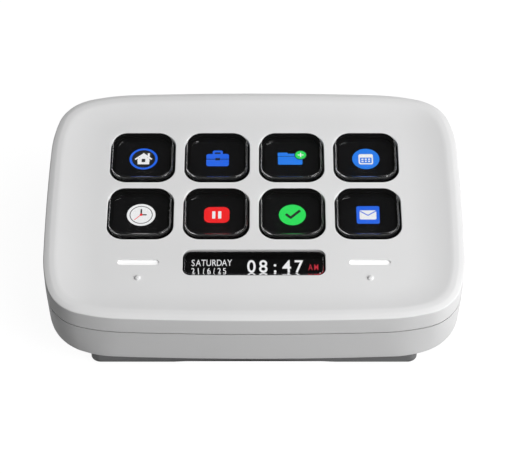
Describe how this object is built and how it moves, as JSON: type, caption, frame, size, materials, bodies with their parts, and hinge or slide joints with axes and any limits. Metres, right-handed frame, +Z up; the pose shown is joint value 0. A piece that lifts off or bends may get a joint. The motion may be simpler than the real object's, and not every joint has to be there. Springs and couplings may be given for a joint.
{
  "type": "macro keypad",
  "caption": "Desk keypad with clear display keys in two rows, an info window and touch bars in a bowed white case on a low wedge stand",
  "frame": {"origin": "bottom centre of the bounding box, on the desk under the middle of the case", "axes": "+X to the right of someone using it, +Y away from them, +Z up; the face leans back 5 degrees about X"},
  "size_m": [0.1066, 0.0782, 0.0264],
  "materials": {
    "shell": "satin white moulded plastic",
    "black_frame": "black moulded plastic",
    "clear_key": "clear polished acrylic",
    "smoked_window": "dark polished window",
    "light_guide": "milky translucent plastic",
    "silicone": "dark silicone rubber",
    "film": "printed polyester and polyimide film",
    "screen": "display glass with its picture",
    "backlight": "white backlight frame",
    "steel": "stamped sheet steel",
    "board": "green solder mask",
    "chip": "black moulded components",
    "plated_shell": "plated steel shell",
    "screw_steel": "zinc-plated steel",
    "stand_black": "fine-textured black plastic",
    "pad_rubber": "black anti-slip rubber"
  },
  "bodies": {
    "case": {"top_shell": "shell", "bottom_shell": "shell", "key_bezel": "black_frame", "info_window": "smoked_window", "light_guide_left": "light_guide", "light_guide_right": "light_guide", "dome_mat": "silicone", "switch_film": "film", "display_glass": "screen", "display_backlight": "backlight", "display_ribbon": "film", "support_plate": "steel", "main_board": "board", "controller_chip": "chip", "ribbon_connector": "chip", "board_parts": "chip", "usb_socket_shell": "plated_shell", "usb_socket_insert": "chip", "board_screws": "screw_steel", "case_screws": "screw_steel", "stand": "stand_black", "stand_pad": "pad_rubber"},
    "key_1": {"key_lens_1": "clear_key", "key_carrier_1": "black_frame"},
    "key_2": {"key_lens_2": "clear_key", "key_carrier_2": "black_frame"},
    "key_3": {"key_lens_3": "clear_key", "key_carrier_3": "black_frame"},
    "key_4": {"key_lens_4": "clear_key", "key_carrier_4": "black_frame"},
    "key_5": {"key_lens_5": "clear_key", "key_carrier_5": "black_frame"},
    "key_6": {"key_lens_6": "clear_key", "key_carrier_6": "black_frame"},
    "key_7": {"key_lens_7": "clear_key", "key_carrier_7": "black_frame"},
    "key_8": {"key_lens_8": "clear_key", "key_carrier_8": "black_frame"}
  },
  "joints": [
    {"name": "key_1_press", "type": "slide", "parent": "case", "child": "key_1", "axis": [0, 0.0872, -0.9962], "range_m": [0, 0.0007], "stiffness_N_per_m": 500, "springref_m": -0.0002, "deforming": ["dome_mat"]},
    {"name": "key_2_press", "type": "slide", "parent": "case", "child": "key_2", "axis": [0, 0.0872, -0.9962], "range_m": [0, 0.0007], "stiffness_N_per_m": 500, "springref_m": -0.0002, "deforming": ["dome_mat"]},
    {"name": "key_3_press", "type": "slide", "parent": "case", "child": "key_3", "axis": [0, 0.0872, -0.9962], "range_m": [0, 0.0007], "stiffness_N_per_m": 500, "springref_m": -0.0002, "deforming": ["dome_mat"]},
    {"name": "key_4_press", "type": "slide", "parent": "case", "child": "key_4", "axis": [0, 0.0872, -0.9962], "range_m": [0, 0.0007], "stiffness_N_per_m": 500, "springref_m": -0.0002, "deforming": ["dome_mat"]},
    {"name": "key_5_press", "type": "slide", "parent": "case", "child": "key_5", "axis": [0, 0.0872, -0.9962], "range_m": [0, 0.0007], "stiffness_N_per_m": 500, "springref_m": -0.0002, "deforming": ["dome_mat"]},
    {"name": "key_6_press", "type": "slide", "parent": "case", "child": "key_6", "axis": [0, 0.0872, -0.9962], "range_m": [0, 0.0007], "stiffness_N_per_m": 500, "springref_m": -0.0002, "deforming": ["dome_mat"]},
    {"name": "key_7_press", "type": "slide", "parent": "case", "child": "key_7", "axis": [0, 0.0872, -0.9962], "range_m": [0, 0.0007], "stiffness_N_per_m": 500, "springref_m": -0.0002, "deforming": ["dome_mat"]},
    {"name": "key_8_press", "type": "slide", "parent": "case", "child": "key_8", "axis": [0, 0.0872, -0.9962], "range_m": [0, 0.0007], "stiffness_N_per_m": 500, "springref_m": -0.0002, "deforming": ["dome_mat"]}
  ]
}
